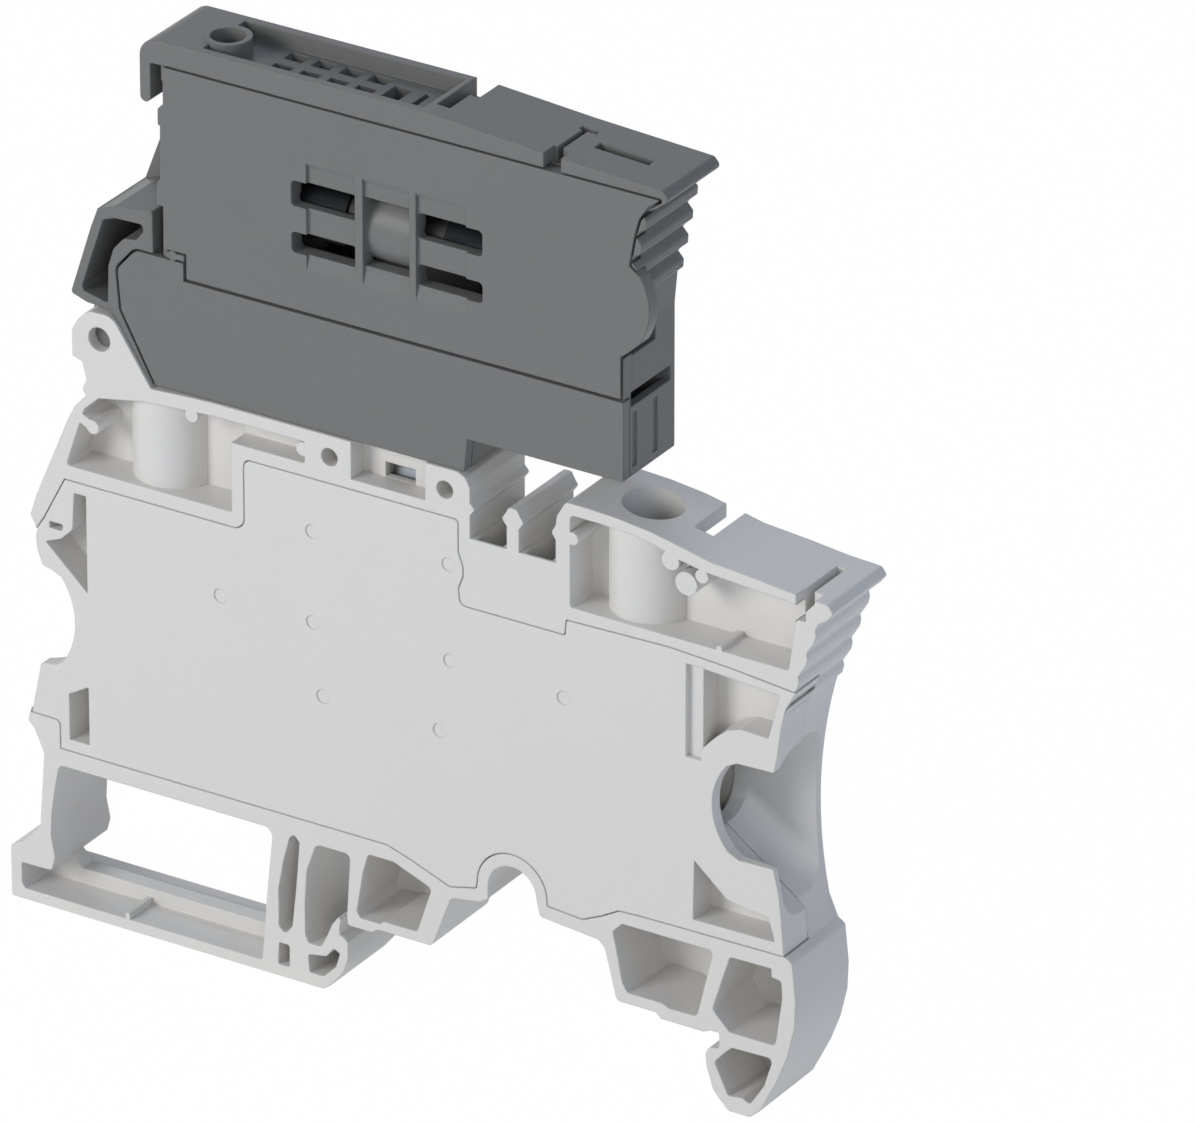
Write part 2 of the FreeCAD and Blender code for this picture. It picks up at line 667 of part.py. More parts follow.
def make_current_bar(clamp_end, riser_x, run_end):
    """Flat bar from the clamp, up a riser and along to its contact."""
    side = 1 if run_end > riser_x else -1
    t = bar_thickness
    points = [
        (clamp_end, bar_z), (clamp_end, bar_z + t),
        (riser_x, bar_z + t, 0.3), (riser_x, run_top, 1.3), (run_end, run_top),
        (run_end, run_z), (riser_x + side * t, run_z, 0.3), (riser_x + side * t, bar_z, 1.3),
    ]
    return slab(points, -bar_width / 2, bar_width / 2)


def make_fork(x):
    """Two springy tines that grip one blade of the lever."""
    grip = blade_sheet / 2 + blade_play
    top = deck_z - 1.2
    base = run_top
    side = [
        (0, base + fork_sheet), (0.7, base + fork_sheet, 0.2), (0.9, top - 3.4), (grip, top - 1.4, 0.3),
        (0.85, top), (0.85 + fork_sheet, top), (grip + fork_sheet, top - 1.4, 0.3),
        (0.9 + fork_sheet, top - 3.4), (1.3, base, 0.3),
    ]
    other = [(-y, *rest) for y, *rest in reversed(side[1:])]
    return bar_along_x(side + other, x - fork_length / 2, x + fork_length / 2)


# Lever outlines, measured from the pivot

def lever_outline():
    """Whole lever from the side, clockwise from the lower left of its stop box."""
    left = at(pivot_x, pivot_z, [
     (-2.78, 3.35, .3), (-0.78, 9.55, .5), (-0.33, 10.75, .4), (1.42, 15.35), (3.67, 21.55)])
    top = at(pivot_x, pivot_z, [
     (4.07, 23.55), (4.07, lever_top, 1.6), (30.67, lever_top), (41.17, 26.45),
     (51.97, 25.9, .4), (52.6, 25.2, .5), (51.3, 24.2)])
    low = at(pivot_x, pivot_z, [
     (lever_reach, 12.65, .5), (lever_reach, 0.15, .1), (34.17, 0.15), (33.87, -2.75, .1),
     (4.75, -2.75, .1),
     (1.05, 2.75, .3), (-1.23, 2.85)])
    return left + top + lever_grips() + low


def lever_grips():
    """Four finger ridges down the free end of the lever."""
    points = []
    for i in range(4):
        z = fuse_z + 7.4 - i * grip_pitch
        x = pivot_x + lever_reach + 2.08 - i * 0.42
        points += [(x - 0.5, z + 1.0), (x, z + 0.45, .3), (x - 0.05, z - 0.3, .3), (x - 0.55, z - 0.6)]
    return points


def door_outline():
    left = at(pivot_x, pivot_z, [
     (8.17, 7.25), (8.17, 9.4), (6.07, 9.4, .1), (6.07, 13.05), (5.47, 13.05, .1),
     (5.47, 14.95, .1), (5.82, 15.35), (5.87, 19.95), (5.67, 19.95, .1), (5.67, 21.35, .1),
     (6.17, 21.85), (6.17, 25, .1)])
    right = at(pivot_x, pivot_z, [
     (51.67, 25), (50.57, 24.15, .6), (49.81, 22.95), (49.37, 21.3), (48.93, 18.8, .1),
     (49.97, 18.05), (50.76, 15.15, "via"), (49.97, 12.45), (48.87, 11.4), (48.17, 10.85),
     (48.17, 7.25)])
    return left + right


def lower_outline():
    return at(pivot_x, pivot_z, [
     (1.97, 3.05, .5), (1.67, 6.55, .9), (3.37, 8.5, .9), (7.87, 8.5, .1), (7.87, 6.95),
     (lever_reach, 6.95), (lever_reach, 0.15, .1), (34.17, 0.15), (33.87, -2.75, .1), (5.12, -2.75)])


def stop_box_room():
    return at(pivot_x, pivot_z, [
     (-1.73, 4.15, .3), (0.37, 10.45, .3), (1.47, 10.85), (4.07, 10.95, .3), (4.17, 10.35, .3),
     (3.47, 9.45), (2.27, 9.25, .5), (1.32, 8.15, .5), (0.82, 6.55), (0.72, 3.25, .2),
     (-1.53, 3.75, .2)])


def door_hinge():
    """Heights of the lower and upper hinge pin of the door."""
    return (pivot_z + 7.6, pivot_z + 10.2), (pivot_z + 23.6, pivot_z + 26.2)


def left_opening():
    """Open corner between the top hook, the stop box and the door."""
    return at(pivot_x, pivot_z, [
     (5.02, 25.15, .2), (6.27, 25.15), (6.27, 8.5), (5.02, 8.5), (5.02, 12.25, .2),
     (1.57, 11.95, .3), (-0.03, 11.25, .5), (-2.33, 12.15), (-2.33, 23.7), (4.07, 23.7),
     (4.07, 22.2), (4.55, 21.7, "via"), (5.02, 22.2)])


def strip_room():
    """Hollow behind the lower cover, for the contact strips."""
    return at(pivot_x, pivot_z, [
        (5.47, -1.95, .3), (2.37, 3.25, .3), (2.37, 6.35, .3), (lever_reach - 0.75, 6.35, .3),
        (lever_reach - 0.75, 0.95, .3), (33.17, 0.95), (33.17, -1.95)])


def fuse_room():
    """Hollow behind the door, for the fuse."""
    return at(pivot_x, pivot_z, [
        (7.07, 7.35, .3), (7.07, lever_top - 4.7, .3), (lever_reach + 0.6, lever_top - 4.7),
        (lever_reach - 0.75, 12.65), (lever_reach - 0.75, 7.35, .3)])


# Lever solids

def make_lever_frame():
    y0 = -lever_half
    back = lever_half - lever_back
    door_back = y0 + door_plate + panel_gap / 2
    lower_back = y0 + lever_plate
    frame = slab(lever_outline(), -lever_half, lever_half)
    cuts = [slab(stop_box_room(), y0 - 1, back)]
    cuts.append(slab(left_opening(), y0 - 1, back))
    door = Part.Face(outline(door_outline()).makeOffset2D(panel_gap))
    door.translate(FreeCAD.Vector(0, y0 - 1, 0))
    cuts.append(door.extrude(FreeCAD.Vector(0, 1 + door_back - y0, 0)))
    lower = Part.Face(outline(lower_outline()).makeOffset2D(panel_gap))
    lower.translate(FreeCAD.Vector(0, y0 - 1, 0))
    cuts.append(lower.extrude(FreeCAD.Vector(0, 1 + lower_back - y0, 0)))
    cuts.append(slab(strip_room(), lower_back - 0.1, back))
    cuts.append(slab(fuse_room(), door_back - 0.1, back))
    cuts += top_details() + end_details()
    for x in (left_blade, right_blade):
        cuts.append(block(x - blade_width / 2 - 0.1, x + blade_width / 2 + 0.1, -0.5, 0.5,
                          deck_z, deck_z + 2))
    for x in (fuse_x - clip_offset, fuse_x + clip_offset):
        cuts.append(block(x - 1.3, x + 1.3, -0.5, 0.5, fuse_z - 9.5, fuse_z - 6.5))
    hub_half = half - ear_thickness - ear_play
    hub = pin_y(pivot_x, pivot_z, hub_radius, -hub_half, hub_half)
    web_points = at(pivot_x, pivot_z, [(-1.2, 3.3), (1.2, 3.3), (3.9, -1.2), (1.9, -1.4), (-2.1, 0.6)])
    hub_web = slab(web_points, -hub_half, hub_half)
    trunnion = pin_y(pivot_x, pivot_z, trunnion_radius, -half + 1.0, half - 1.0)
    for low, high in door_hinge():
        cuts.append(pin_z(hinge_x, hinge_y, hinge_pin + hinge_play, low - 0.1, high + 0.1))
    frame = frame.cut(cuts)
    peg = pin_y(pivot_x + 6.87, pivot_z + 8.95, 0.42, y0, back)
    top = pivot_z + lever_top
    boss = pin_z(pivot_x + 10.1, -0.35, 1.93, top - lever_tray - 0.2, top + 0.2)
    boss = boss.cut(pin_z(pivot_x + 10.1, -0.35, 1.43, top - lever_tray, top + 1))
    return frame.fuse([hub, hub_web, trunnion, peg, boss]).removeSplitter()


def top_details():
    """Tray with its row of wells, gap, bar slot and label slot in the top band."""
    top = pivot_z + lever_top
    floor = top - lever_tray
    wide = lever_half - 0.75
    cuts = [block(pivot_x + 9.5, pivot_x + 29.9, -wide, wide, floor, top + 1)]
    cuts.append(pin_z(pivot_x + 10.1, -0.35, 1.43, floor, top + 1))
    for i in range(4):
        x = pivot_x + 15.0 + i * 2.55
        for y0, y1 in ((-1.5, 0.25), (1.25, 2.5)):
            cuts.append(block(x - 0.85, x + 0.85, y0, y1, floor - 2.0, floor + 0.1))
    cuts.append(block(pivot_x + 24.3, pivot_x + 25.9, -1.2, 1.6, floor - 2.0, floor + 0.1))
    cuts.append(block(pivot_x + 27.1, pivot_x + 27.6, -1.2, 1.6, floor - 1.0, floor + 0.1))
    cuts.append(block(pivot_x + 30.4, pivot_x + 31.6, -2.0, 1.0, floor - 1.5, top + 1))
    cuts.append(block(pivot_x + 30.4, pivot_x + 32.4, 0.9, half + 1, floor - 0.2, top + 1))
    label = floor - 0.6
    x = pivot_x + 41.2
    cuts.append(block(x, x + 1.6, -lever_half - 1, -lever_half + 1.6, label, top + 1))
    cuts.append(block(x + 0.3, x + 0.8, -lever_half, lever_half - 2.0, label, top + 1))
    cuts.append(block(x, x + 1.6, lever_half - 2.4, lever_half - 1.8, label, top + 1))
    cuts.append(block(pivot_x + 43.8, pivot_x + 48.8, -0.65, 0.35, floor - 1.0, top + 1))
    return cuts


def end_details():
    """Slots and shallow grooves in the end wall under the finger ridges."""
    x0 = pivot_x + lever_reach - 1.2
    x1 = pivot_x + lever_reach + 1.1
    y0 = -lever_half
    cuts = [block(x0, x1, y0 + 1.2, y0 + 4.7, fuse_z - 4.6, fuse_z - 3.3)]
    cuts.append(block(x0, x1, y0 + 1.1, y0 + 6.9, fuse_z - 9.0, fuse_z - 7.7))
    groove = pivot_x + lever_reach - 0.17
    for y in (y0 + 1.3, y0 + 4.3):
        cuts.append(block(groove, x1, y, y + 0.7, pivot_z + 0.9, fuse_z - 9.6))
    return cuts


def make_lower_cover():
    cover = slab(lower_outline(), -lever_half, -lever_half + lever_plate - panel_gap / 2)
    low, high = door_hinge()[0]
    return cover.cut(pin_z(hinge_x, hinge_y, hinge_pin + hinge_play, low - 0.1, high))


def door_panel(a, b):
    """Sunk panel of the door, with a short ramp at its top and a long one at its foot."""
    face = -lever_half
    deep = face + door_recess
    side = [(face - 1, fuse_z - 4.2), (face, fuse_z - 4.2), (deep, fuse_z - 3.0),
            (deep, fuse_z + 4.5), (face, fuse_z + 5.0), (face - 1, fuse_z + 5.0)]
    return bar_along_x(side, fuse_x + a, fuse_x + b)


def make_fuse_door():
    """Swing out cover of the fuse, with sunk windows, slots and the fuse tunnel."""
    y0 = -lever_half
    door = slab(door_outline(), y0, y0 + door_plate)
    tunnel = pin_x(fuse_x - 2.15, fuse_x + 2.3, cap_radius + fuse_play + 0.45, fuse_z)
    tunnel = tunnel.common(block(fuse_x - 10, fuse_x + 10, y0, -1.6, fuse_z - 5, fuse_z + 5))
    pad = block(fuse_x - 9.6, fuse_x + 9.6, y0 + door_plate - 0.1, y0 + door_plate + door_pad,
                fuse_z - 4.6, fuse_z + 5.0)
    recesses = [door_panel(a, b) for a, b in ((-7.3, -2.8), (-2.1, 2.2), (2.8, 7.4))]
    recesses.append(block(fuse_x - 2.1, fuse_x + 2.2, y0 - 1, y0 + 3, fuse_z - 2.6, fuse_z + 3.3))
    slots = []
    for a, b in ((-8.7, -2.8), (2.8, 8.9)):
        for low, high in ((1.0, 3.2), (-3.0, -1.2)):
            slots.append(slab([(fuse_x + a, fuse_z + low, 0.4), (fuse_x + a, fuse_z + high, 0.4),
                               (fuse_x + b, fuse_z + high, 0.4), (fuse_x + b, fuse_z + low, 0.4)],
                              y0 - 1, y0 + 3))
    room = pin_x(fuse_x - fuse_length / 2 - 0.6, fuse_x + fuse_length / 2 + 0.6,
                 cap_radius + fuse_play, fuse_z)
    pins = [pin_z(hinge_x, hinge_y, hinge_pin, low, high) for low, high in door_hinge()]
    door = door.fuse(pad).cut(recesses + slots).fuse([tunnel] + pins).cut(room)
    return door.removeSplitter()


def make_fuse_cap(side):
    end = fuse_x + side * fuse_length / 2
    inner = end - side * cap_length
    cap = pin_x(min(end, inner), max(end, inner), cap_radius, fuse_z)
    wall_x = end - side * 0.4
    return cap.cut(pin_x(min(wall_x, inner), max(wall_x, inner), glass_radius, fuse_z))


def make_fuse_glass():
    reach = fuse_length / 2 - 0.4
    glass = pin_x(fuse_x - reach, fuse_x + reach, glass_radius, fuse_z)
    return glass.cut(pin_x(fuse_x - reach, fuse_x + reach, glass_radius - 0.5, fuse_z))


def make_fuse_wire():
    reach = fuse_length / 2 - 0.4
    return pin_x(fuse_x - reach, fuse_x + reach, 0.1, fuse_z)


def make_fuse_clip(x):
    """Spring ring round one cap, open to the near side, with a foot on the contact strip."""
    outer = pin_x(x - 2.0, x + 2.0, cap_radius + 0.05 + clip_sheet, fuse_z)
    ring = outer.cut(pin_x(x - 3, x + 3, cap_radius + 0.05, fuse_z))
    mouth = bar_along_x([(0, fuse_z), (-5, fuse_z - 7), (-5, fuse_z + 7)], x - 3, x + 3)
    foot = block(x - 1.0, x + 1.0, 0.4, 0.4 + clip_sheet, fuse_z - 6.0, fuse_z - cap_radius - 0.1)
    return ring.cut(mouth).fuse(foot).removeSplitter()


def make_contact_strip(blade_x, clip_x):
    """Stamped strip: blade below the lever, crank inside it, tab up to the fuse clip."""
    w = blade_width / 2
    low = deck_z - 5.0
    points = [
        (blade_x - w, low + 0.6), (blade_x - w, pivot_z + 4.2, 0.4), (clip_x - 1.2, pivot_z + 4.2, 0.4),
        (clip_x - 1.2, fuse_z - 4.4), (clip_x + 1.2, fuse_z - 4.4), (clip_x + 1.2, pivot_z + 1.8, 0.4),
        (blade_x + w, pivot_z + 1.8, 0.4), (blade_x + w, low + 0.6), (blade_x + w - 0.5, low),
        (blade_x - w + 0.5, low),
    ]
    return slab(points, -blade_sheet / 2, blade_sheet / 2)


def make_parts():
    left_wall = left_screw + chamber_half
    right_wall = right_screw - chamber_half
    left_bar = make_current_bar(left_screw - bar_reach, left_wall + 1.3, left_blade + run_over)
    right_bar = make_current_bar(right_screw + bar_reach, right_wall - 1.1, right_blade - run_over)
    return {
        "housing": make_housing(),
        "side_cover": make_side_cover(),
        "left_clamp_cage": make_clamp_cage(left_screw),
        "right_clamp_cage": make_clamp_cage(right_screw),
        "left_clamp_screw": make_clamp_screw(left_screw),
        "right_clamp_screw": make_clamp_screw(right_screw),
        "left_current_bar": left_bar,
        "right_current_bar": right_bar,
        "left_fork_contact": make_fork(left_blade),
        "right_fork_contact": make_fork(right_blade),
        "lever_frame": make_lever_frame(),
        "lever_lower_cover": make_lower_cover(),
        "fuse_door": make_fuse_door(),
        "fuse_glass": make_fuse_glass(),
        "fuse_wire": make_fuse_wire(),
        "left_fuse_cap": make_fuse_cap(-1),
        "right_fuse_cap": make_fuse_cap(1),
        "left_fuse_clip": make_fuse_clip(fuse_x - clip_offset),
        "right_fuse_clip": make_fuse_clip(fuse_x + clip_offset),
        "left_contact_strip": make_contact_strip(left_blade, fuse_x - clip_offset),
        "right_contact_strip": make_contact_strip(right_blade, fuse_x + clip_offset),
    }


os.makedirs("parts", exist_ok=True)
for name, shape in make_parts().items():
    if len(shape.Solids) != 1 or not shape.isValid():
        raise ValueError(name + " is not one valid solid")
    shape.exportStep("parts/" + name + ".step")
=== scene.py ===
import math

import bpy
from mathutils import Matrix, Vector


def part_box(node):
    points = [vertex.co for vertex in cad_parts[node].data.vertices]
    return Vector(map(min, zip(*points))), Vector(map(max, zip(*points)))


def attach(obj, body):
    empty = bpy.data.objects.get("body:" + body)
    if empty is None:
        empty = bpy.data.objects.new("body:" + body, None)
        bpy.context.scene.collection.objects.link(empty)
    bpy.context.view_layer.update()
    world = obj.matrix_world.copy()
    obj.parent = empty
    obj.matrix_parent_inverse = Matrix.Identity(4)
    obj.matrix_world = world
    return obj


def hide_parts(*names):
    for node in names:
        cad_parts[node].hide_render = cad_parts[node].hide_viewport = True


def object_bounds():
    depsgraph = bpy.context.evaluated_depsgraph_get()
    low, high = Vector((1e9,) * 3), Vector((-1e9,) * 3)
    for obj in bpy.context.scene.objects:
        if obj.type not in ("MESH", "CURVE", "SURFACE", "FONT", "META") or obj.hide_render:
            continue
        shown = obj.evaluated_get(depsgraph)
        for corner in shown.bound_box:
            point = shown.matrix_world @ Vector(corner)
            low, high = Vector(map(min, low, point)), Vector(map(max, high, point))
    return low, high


bl_info = {
    "name": "Fuse Terminal Block",
    "version": (1, 0, 0),
    "blender": (4, 5, 0),
    "location": "View3D > Sidebar > Fuse Block",
    "description": "Finishes and studio for a rail mounted fuse terminal block",
    "category": "Object",
}

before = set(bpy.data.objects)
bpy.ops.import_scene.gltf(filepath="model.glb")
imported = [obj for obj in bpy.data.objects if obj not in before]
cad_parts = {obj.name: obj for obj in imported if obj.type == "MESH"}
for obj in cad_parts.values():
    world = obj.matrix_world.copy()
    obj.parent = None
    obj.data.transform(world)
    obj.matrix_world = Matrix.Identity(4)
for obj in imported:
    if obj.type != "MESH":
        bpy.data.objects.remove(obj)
cad_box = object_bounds()

# All lengths and places are in metres, in the frame of the CAD model.

# Corners of the CAD model's loose triangles that lie this near are one corner.
WELD_DISTANCE = 0.0000002
# Corners this near to a plane lie on it.
SAME_PLANE = 0.00001

# The line that touches all the ridges of the marker end passes RIDGE_LINE_X at the
# height RIDGE_LINE_Z, and goes back by RIDGE_LEAN times each drop in height.
RIDGE_LINE_X = 0.02617
RIDGE_LINE_Z = 0.03715
RIDGE_LEAN = 0.34545
RIDGES_BOTTOM = 0.0299
RIDGES_TOP = 0.0386
# What lies deeper behind the line is no valley but the inside of the housing.
DEEPEST_VALLEY = 0.0008

# The two wells for the cross connector's pins: their ends along the block, their near
# wall in the CAD model, and that wall here in the mouth and in the shaft under it.
WELLS_X = ((-0.0048, -0.0024), (-0.0003, 0.0021))
WELLS_BOTTOM = 0.0302
WELLS_TOP = 0.0375
WELL_WALL_Y = -0.0016
WELL_MOUTH_Y = -0.00375
WELL_SHAFT_Y = -0.0029
WELL_MOUTH_BOTTOM = 0.037

# The floor of the door's windows lies between these depths in the CAD model, and the
# windows start right of WINDOWS_LEFT.
WINDOW_FLOOR_DEPTHS = (0.0004, 0.0005)
WINDOWS_LEFT = -0.022

# A noise pattern has nearly all its values between these two.
NOISE_LOW = 0.3
NOISE_HIGH = 0.7

# Pigment and glass fibre cloud the polyamide over this width.
CLOUD_SIZE = 0.009
GRAIN_DEPTH = 0.000012
GRAIN_SHEEN = 0.05
POLYAMIDE_IOR = 1.53

# The lines in drawn metal run along the block. Along them the pattern has this share
# of its scale across them.
LINE_STRETCH = 0.08
LINE_DEPTH = 0.000008
LINE_SHEEN = (0.06, 0.08)
# The metal's edges are this much tighter than the mouldings'.
METAL_EDGE = 0.6

GLASS_RIPPLE_SIZE = 0.004
GLASS_RIPPLE_DEPTH = 0.00005
GLASS_IOR = 1.5

FLOOR_SIZE = 6
# The rest of the floor's look is lit card, which leaves a faint shadow on it.
FLOOR_GLOW = 0.99
LAMP_AIM = (-0.01, 0, 0.033)


def linear(code):
    """Linear colour with alpha of an sRGB hex code."""
    values = [int(code[i:i + 2], 16) / 255 for i in (1, 3, 5)]
    return [v / 12.92 if v <= 0.04045 else ((v + 0.055) / 1.055) ** 2.4
            for v in values] + [1.0]


class FuseBlockFinish(bpy.types.PropertyGroup):
    """Colours and surface sizes of the block's materials."""

    body_colour: bpy.props.FloatVectorProperty(
        name="Body", description="Light grey polyamide of the housing and its cover",
        subtype="COLOR", size=4, default=linear("#D6D4D0"), min=0, max=1)
    lever_colour: bpy.props.FloatVectorProperty(
        name="Lever", description="Dark grey polyamide of the fuse lever",
        subtype="COLOR", size=4, default=linear("#747472"), min=0, max=1)
    steel_colour: bpy.props.FloatVectorProperty(
        name="Steel", description="Zinc plated steel of the clamps",
        subtype="COLOR", size=4, default=linear("#C9C4B4"), min=0, max=1)
    tin_colour: bpy.props.FloatVectorProperty(
        name="Tin", description="Dull tinned copper of the bars and contacts",
        subtype="COLOR", size=4, default=linear("#84898E"), min=0, max=1)
    # The caps' and clips' near-black colour is painted shade that keeps the door's slots
    # dark.
    cap_painted_shade_colour: bpy.props.FloatVectorProperty(
        name="Caps", description="Dark nickel on the fuse's caps and their clips",
        subtype="COLOR", size=4, default=linear("#1F2023"), min=0, max=1)
    # The glass's dark smoky colour is painted shade that keeps the door's slots dark.
    glass_painted_shade_colour: bpy.props.FloatVectorProperty(
        name="Glass", description="Smoky glass of the fuse's tube",
        subtype="COLOR", size=4, default=linear("#3C403F"), min=0, max=1)
    edge_round: bpy.props.FloatProperty(
        name="Moulded edge", description="Radius of the moulded parts' small edges",
        subtype="DISTANCE", unit="LENGTH", default=0.00018, min=0, max=0.001)
    ridge_depth: bpy.props.FloatProperty(
        name="Ridge depth",
        description="Depth of the marker end's ridges as a share of the CAD model's",
        subtype="FACTOR", default=0.38, min=0, max=1)
    window_depth: bpy.props.FloatProperty(
        name="Window depth", description="Depth of the door's sunk windows",
        subtype="DISTANCE", unit="LENGTH", default=0.00028, min=0.0001, max=0.00045)
    grain_size: bpy.props.FloatProperty(
        name="Mould grain",
        description="Width of one grain of the spark eroded mould surface",
        subtype="DISTANCE", unit="LENGTH", default=0.00022, min=0.00002, max=0.002)


class FuseBlockStudio(bpy.types.PropertyGroup):
    """Camera, lamps and backdrop."""

    azimuth: bpy.props.FloatProperty(
        name="Azimuth",
        description="Camera's turn round the block from its covered side",
        subtype="ANGLE", default=math.radians(32.1))
    elevation: bpy.props.FloatProperty(
        name="Elevation", description="Camera's angle above the horizon",
        subtype="ANGLE", default=math.radians(26.8))
    distance: bpy.props.FloatProperty(
        name="Distance", description="Camera's distance from its target",
        subtype="DISTANCE", unit="LENGTH", default=1.181, min=0.1)
    target: bpy.props.FloatVectorProperty(
        name="Target", description="Point that the camera looks at",
        subtype="TRANSLATION", unit="LENGTH", size=3, default=(-0.0032, 0.01126, 0.0295))
    lens: bpy.props.FloatProperty(
        name="Lens", description="Focal length on a sensor 36 mm wide, in millimetres",
        subtype="DISTANCE_CAMERA", unit="CAMERA", default=452.3, min=1)
    backdrop_colour: bpy.props.FloatVectorProperty(
        name="Backdrop", description="Floor and background of the studio",
        subtype="COLOR", size=4, default=linear("#FFFFFF"), min=0, max=1)
    key_power: bpy.props.FloatProperty(
        name="Key light", description="Power of the large soft lamp in front, in watts",
        subtype="POWER", unit="POWER", default=6.2, min=0)
    fill_power: bpy.props.FloatProperty(
        name="Fill light", description="Power of the soft lamp beside the camera, in watts",
        subtype="POWER", unit="POWER", default=2.2, min=0)
    rim_power: bpy.props.FloatProperty(
        name="Side light", description="Power of the soft lamp on the right, in watts",
        subtype="POWER", unit="POWER", default=1.4, min=0)
    top_power: bpy.props.FloatProperty(
        name="Top light", description="Power of the soft lamp above and behind, in watts",
        subtype="POWER", unit="POWER", default=1.75, min=0)
    sky_strength: bpy.props.FloatProperty(
        name="Sky", description="Strength of the even light from all round",
        default=0.25, min=0)


def add_node(tree, kind, inputs=None, **settings):
    """Add a shader node, set its fields, and set or link its inputs."""
    node = tree.nodes.new(kind)
    for field, value in settings.items():
        setattr(node, field, value)
    for name, value in (inputs or {}).items():
        if isinstance(value, bpy.types.NodeSocket):
            tree.links.new(value, node.inputs[name])
        else:
            node.inputs[name].default_value = value
    return node


def new_material(name):
    """Material with an empty node tree."""
    material = bpy.data.materials.new(name)
    material.use_nodes = True
    material.node_tree.nodes.clear()
    return material


def shows_backdrop(tree):
    """1 for rays that show the backdrop: from the camera, off gloss and through glass."""
    ray = add_node(tree, "ShaderNodeLightPath")
    seen = add_node(tree, "ShaderNodeMath", {
        0: ray.outputs["Is Camera Ray"], 1: ray.outputs["Is Glossy Ray"]},
        operation="MAXIMUM")
    through = add_node(tree, "ShaderNodeMath", {
        0: seen.outputs[0], 1: ray.outputs["Is Transmission Ray"]}, operation="MAXIMUM")
    return through.outputs[0]


def paint(node_names, material):
    """Give CAD nodes their material."""
    for name in node_names:
        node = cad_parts.get(name)
        if node is None:
            raise RuntimeError("no CAD node named " + name)
        node.data.materials.clear()
        node.data.materials.append(material)


def welded_copy(node_name, name, body):
    """Copy of a painted CAD node with its triangles welded, shown in the node's place."""
    bpy.ops.object.select_all(action="DESELECT")
    piece = bpy.data.objects.new(name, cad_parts[node_name].data.copy())
    bpy.context.scene.collection.objects.link(piece)
    bpy.context.view_layer.objects.active = piece
    piece.select_set(True)
    bpy.ops.mesh.customdata_custom_splitnormals_clear()
    bpy.ops.object.mode_set(mode="EDIT")
    bpy.ops.mesh.select_all(action="SELECT")
    bpy.ops.mesh.remove_doubles(threshold=WELD_DISTANCE)
    bpy.ops.object.mode_set(mode="OBJECT")
    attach(piece, body)
    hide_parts(node_name)
    return piece


def soften(piece, widest_turn):
    """Shade turns up to this many degrees as one round surface, and keep flat faces flat."""
    bpy.ops.object.shade_smooth_by_angle(
        angle=math.radians(widest_turn), keep_sharp_edges=False)
    modifier = piece.modifiers.new("flat_faces", "WEIGHTED_NORMAL")
    modifier.keep_sharp = True
    # At the full weight the largest face at a corner decides how it is shaded.
    modifier.weight = 100
    bpy.ops.object.modifier_apply(modifier=modifier.name)


def moulded_polyamide(name, colour, roughness, mottle, gloss):
    """Injection moulded polyamide 6.6.

    The mould is spark eroded, which leaves a fine even grain and a soft satin sheen.
    Glass fibre and pigment make the colour cloud a little over a few millimetres.
    The real grain is too fine to show in the render, so it is drawn coarser."""
    finish = bpy.context.scene.fuse_block_finish
    material = new_material(name)
    tree = material.node_tree
    place = add_node(tree, "ShaderNodeTexCoord")
    grain = add_node(tree, "ShaderNodeTexNoise", {
        "Vector": place.outputs["Object"], "Scale": 1 / finish.grain_size,
        "Detail": 2.0})
    cloud = add_node(tree, "ShaderNodeTexNoise", {
        "Vector": place.outputs["Object"], "Scale": 1 / CLOUD_SIZE, "Detail": 3.0})
    low = [c * (1 - mottle) for c in colour[:3]] + [1.0]
    high = [min(1.0, c * (1 + mottle)) for c in colour[:3]] + [1.0]
    tint = add_node(tree, "ShaderNodeMix", {0: cloud.outputs["Fac"], 6: low, 7: high},
                    data_type="RGBA")
    sheen = add_node(tree, "ShaderNodeMapRange", {
        "Value": grain.outputs["Fac"], "From Min": NOISE_LOW, "From Max": NOISE_HIGH,
        "To Min": roughness - GRAIN_SHEEN, "To Max": roughness + GRAIN_SHEEN})
    edge = add_node(tree, "ShaderNodeBevel", {"Radius": finish.edge_round}, samples=6)
    relief = add_node(tree, "ShaderNodeBump", {
        "Height": grain.outputs["Fac"], "Strength": 0.35, "Distance": GRAIN_DEPTH,
        "Normal": edge.outputs["Normal"]})
    shader = add_node(tree, "ShaderNodeBsdfPrincipled", {
        "Base Color": tint.outputs[2], "Roughness": sheen.outputs["Result"],
        "IOR": POLYAMIDE_IOR, "Specular IOR Level": gloss,
        "Normal": relief.outputs["Normal"]})
    add_node(tree, "ShaderNodeOutputMaterial", {"Surface": shader.outputs[0]})
    return material


